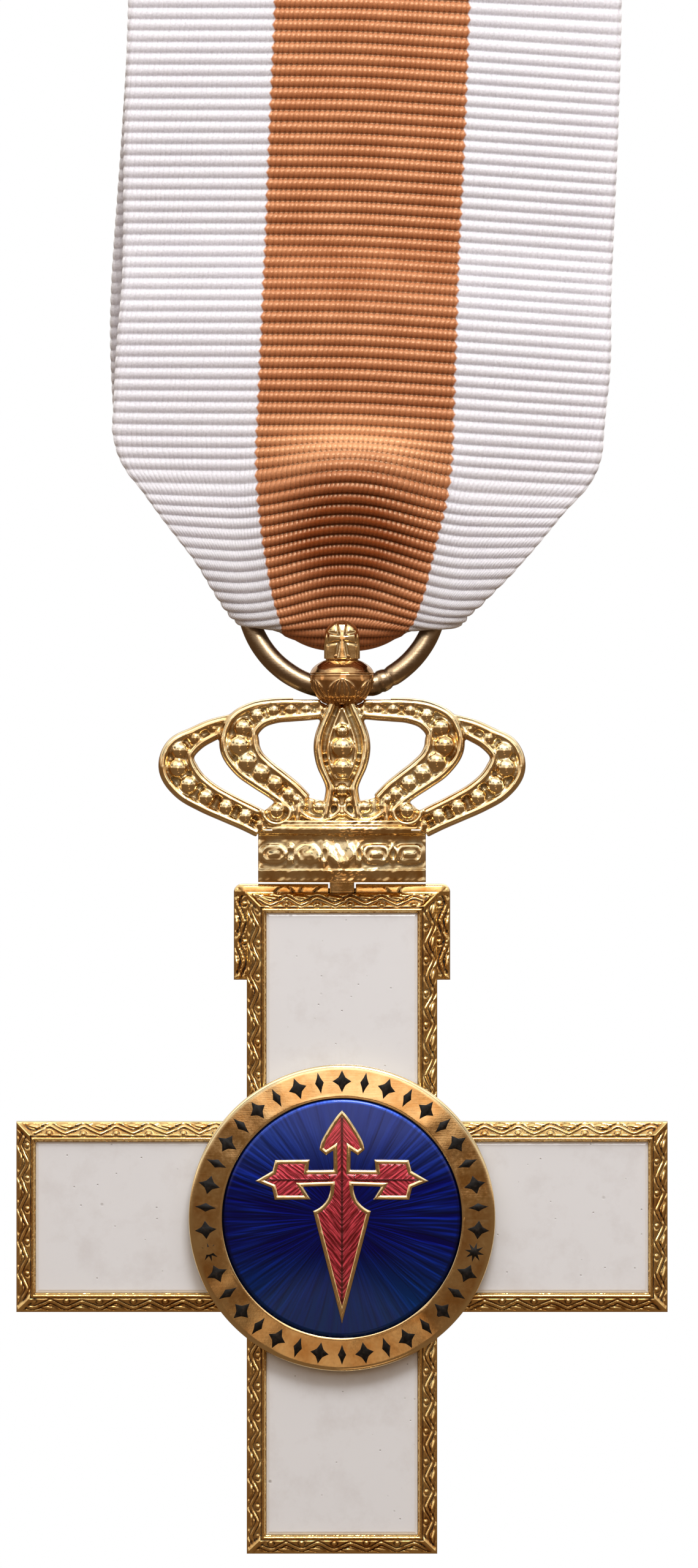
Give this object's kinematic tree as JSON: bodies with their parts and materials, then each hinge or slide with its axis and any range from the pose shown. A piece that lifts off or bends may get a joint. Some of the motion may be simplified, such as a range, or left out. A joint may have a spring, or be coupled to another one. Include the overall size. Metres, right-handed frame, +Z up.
{
  "type": "long service cross medal",
  "caption": "Gilt and white enamelled cross with a round medallion, hung from a royal crown, a ring and a folded ribbed ribbon on a plain wire pin.",
  "frame": {"origin": "on the stem of the brooch pin, straight above the centre of the cross", "axes": "+Z up, the front of the cross faces -Y, +X is to the right in the front view"},
  "size_m": [0.0433, 0.007, 0.1091],
  "materials": {
    "ribbon_cloth": "ribbed rayon, white with an orange-brown middle stripe",
    "steel_wire": "drawn wire",
    "antique_brass": "darkened, satin",
    "cast_gilt": "cast and gilt, worn bright on the high places",
    "engraved_gilt": "struck and gilt, with dark soil in the engraving",
    "polished_gilt": "polished gilt with fine scratches",
    "white_enamel": "gloss with small pits and scratches",
    "blue_enamel": "translucent gloss over engraved rays",
    "red_enamel": "translucent gloss over an engraved herringbone",
    "black_enamel": "gloss"
  },
  "bodies": {
    "hanger": {"ribbon": "ribbon_cloth", "brooch_pin": "steel_wire", "suspension_ring": "antique_brass"},
    "crown_casting": {"crown": "cast_gilt"},
    "cross": {"hinge_pin": "antique_brass", "cross_body": "engraved_gilt", "enamel_upper": "white_enamel", "enamel_lower": "white_enamel", "enamel_left": "white_enamel", "enamel_right": "white_enamel", "medallion": "polished_gilt", "blue_enamel": "blue_enamel", "red_enamel": "red_enamel", "black_enamel": "black_enamel"}
  },
  "joints": [
    {"name": "crown_swing", "type": "hinge", "parent": "hanger", "child": "crown_casting", "pos_m": [0, 0, -0.05558], "axis": [1, 0, 0], "range_deg": [-4, 45]},
    {"name": "cross_swing", "type": "hinge", "parent": "crown_casting", "child": "cross", "pos_m": [0, 0.00035, -0.068], "axis": [1, 0, 0], "range_deg": [-12, 12]}
  ]
}
